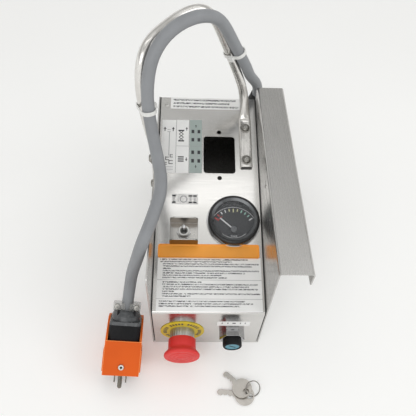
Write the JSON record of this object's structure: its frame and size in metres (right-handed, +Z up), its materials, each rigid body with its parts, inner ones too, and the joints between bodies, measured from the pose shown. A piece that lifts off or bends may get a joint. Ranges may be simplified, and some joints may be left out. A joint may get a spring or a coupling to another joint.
{
  "type": "scissor lift control box",
  "caption": "Stainless control box for a scissor lift with a sloping panel, stop button, key switch, toggle, battery gauge, hoop handle, hook channel and a plug lead.",
  "frame": {"origin": "middle of the underside of the box, on the table", "axes": "+X to the right of the operator, +Y to the back of the box, +Z up"},
  "size_m": [0.2157, 0.3751, 0.3066],
  "materials": {
    "stainless": "brushed",
    "seal_rubber": "matt",
    "yellow_plastic": "matt",
    "aluminium": "machined",
    "dark_plastic": "matt",
    "red_plastic": "satin",
    "chrome": "polished",
    "teal_plastic": "satin",
    "zinc_steel": "zinc plated",
    "bezel_black": "gloss",
    "dial_black": "matt",
    "white_plastic": "matt",
    "lens_glass": "clear",
    "brass": "satin",
    "grey_rubber": "matt",
    "clear_plastic": "smoked",
    "orange_plastic": "matt"
  },
  "bodies": {
    "housing": {"base_pan": "stainless", "left_side_plate": "stainless", "right_side_plate": "stainless", "control_panel": "stainless", "rear_cover": "stainless", "panel_seals": "seal_rubber", "stop_ring": "yellow_plastic", "stop_sleeve": "aluminium", "stop_ring_nut": "aluminium", "stop_contact_block": "dark_plastic", "key_switch_nut": "chrome", "key_switch_barrel": "dark_plastic", "key_switch_collar": "dark_plastic", "key_contact_block": "dark_plastic", "gauge_can": "zinc_steel", "gauge_bezel": "bezel_black", "gauge_dial": "dial_black", "gauge_spindle": "zinc_steel", "gauge_lens": "lens_glass", "gauge_clamp": "zinc_steel", "gauge_clamp_nuts": "brass", "toggle_guard": "stainless", "toggle_switch": "zinc_steel", "toggle_nut": "chrome", "handle": "stainless", "handle_screws": "zinc_steel", "handle_nuts": "zinc_steel", "side_screw": "zinc_steel", "cord_elbow": "dark_plastic", "cord_locknut": "zinc_steel", "cable": "grey_rubber", "tie_right": "white_plastic", "tie_left": "white_plastic", "plug_body": "dark_plastic", "plug_cap": "clear_plastic", "plug_clamp": "zinc_steel", "plug_blades": "brass", "plug_sleeve": "orange_plastic", "sleeve_screw": "zinc_steel", "terminal_block": "white_plastic", "terminal_screws": "brass"},
    "stop_stem": {"stop_stem": "dark_plastic"},
    "stop_head": {"stop_button": "red_plastic"},
    "lock_core": {"key_switch_core": "teal_plastic"},
    "needle": {"gauge_needle": "white_plastic"},
    "lever": {"toggle_lever": "chrome"},
    "keys": {"key_long": "chrome", "key_short": "chrome", "key_ring": "chrome"}
  },
  "joints": [
    {"name": "stop_press", "type": "slide", "parent": "housing", "child": "stop_stem", "axis": [0, 1, 0], "range_m": [0, 0.004], "stiffness_N_per_m": 600},
    {"name": "stop_twist", "type": "hinge", "parent": "stop_stem", "child": "stop_head", "pos_m": [-0.0284, -0.136, 0.035], "axis": [0, -1, 0], "range_deg": [-30, 0], "stiffness_Nm_per_rad": 0.3},
    {"name": "key_turn", "type": "hinge", "parent": "housing", "child": "lock_core", "pos_m": [0.0284, -0.136, 0.035], "axis": [0, -1, 0], "range_deg": [-90, 0]},
    {"name": "toggle_throw", "type": "hinge", "parent": "housing", "child": "lever", "pos_m": [-0.0283, -0.04886, 0.10739], "axis": [0, 0.9701, 0.2425], "range_deg": [-13, 13]},
    {"name": "needle_sweep", "type": "hinge", "parent": "housing", "child": "needle", "pos_m": [0.029, -0.04423, 0.10742], "axis": [0, 0.2425, -0.9701], "range_deg": [-4, 96]},
    {"name": "keys_lift", "type": "slide", "parent": "housing", "child": "keys", "axis": [0, 0, 1], "range_m": [0, 0.05]}
  ]
}
